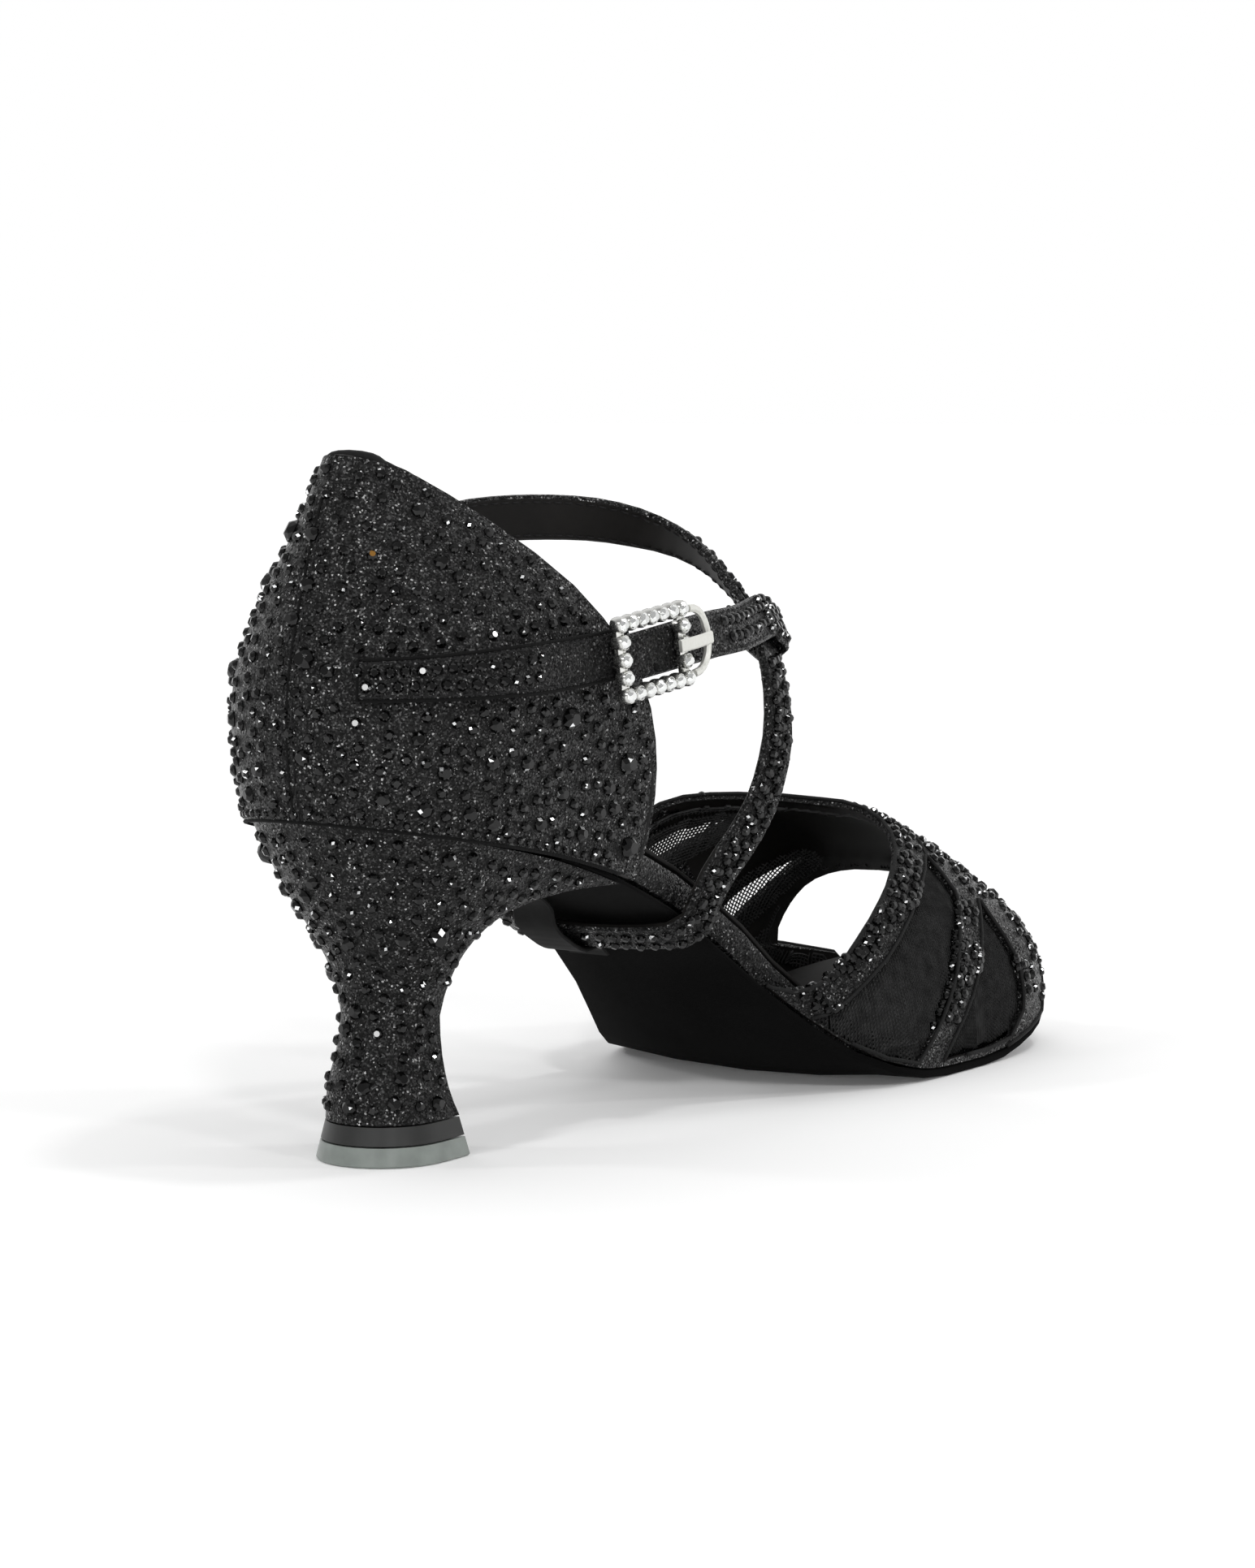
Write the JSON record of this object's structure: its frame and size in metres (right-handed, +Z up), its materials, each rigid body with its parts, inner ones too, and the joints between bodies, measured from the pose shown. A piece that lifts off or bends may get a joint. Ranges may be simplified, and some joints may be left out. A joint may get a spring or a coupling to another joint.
{
  "type": "ballroom dance shoe",
  "caption": "Open-toed right dance sandal: closed counter on a flared heel, banded net vamp, long arch strap held by an elastic keeper, and a side buckle.",
  "frame": {"origin": "middle of the bounding box at floor level", "axes": "+X from heel to toe, +Y to the medial side, +Z up; heel tip and ball of the sole on Z = 0"},
  "size_m": [0.2242, 0.0752, 0.124],
  "materials": {
    "glitter_fabric": "black glitter cloth",
    "suede": "napped",
    "lining": "smooth matt",
    "net": "open net",
    "elastic": "ribbed",
    "tip_dark": "satin",
    "tip_clear": "cloudy",
    "silver": "polished"
  },
  "bodies": {
    "root": {"outsole": "suede", "padded_board": "glitter_fabric", "sock_lining": "lining", "counter": "glitter_fabric", "heel": "glitter_fabric", "heel_tip_lower": "tip_clear", "heel_tip_upper": "tip_dark", "vamp_bands": "glitter_fabric", "vamp_net": "net", "long_strap": "glitter_fabric", "tab_strap": "glitter_fabric", "loop_strap": "glitter_fabric", "elastic_keeper": "elastic", "buckle_frame": "silver", "buckle_wire": "silver", "buckle_prong": "silver"}
  },
  "joints": []
}
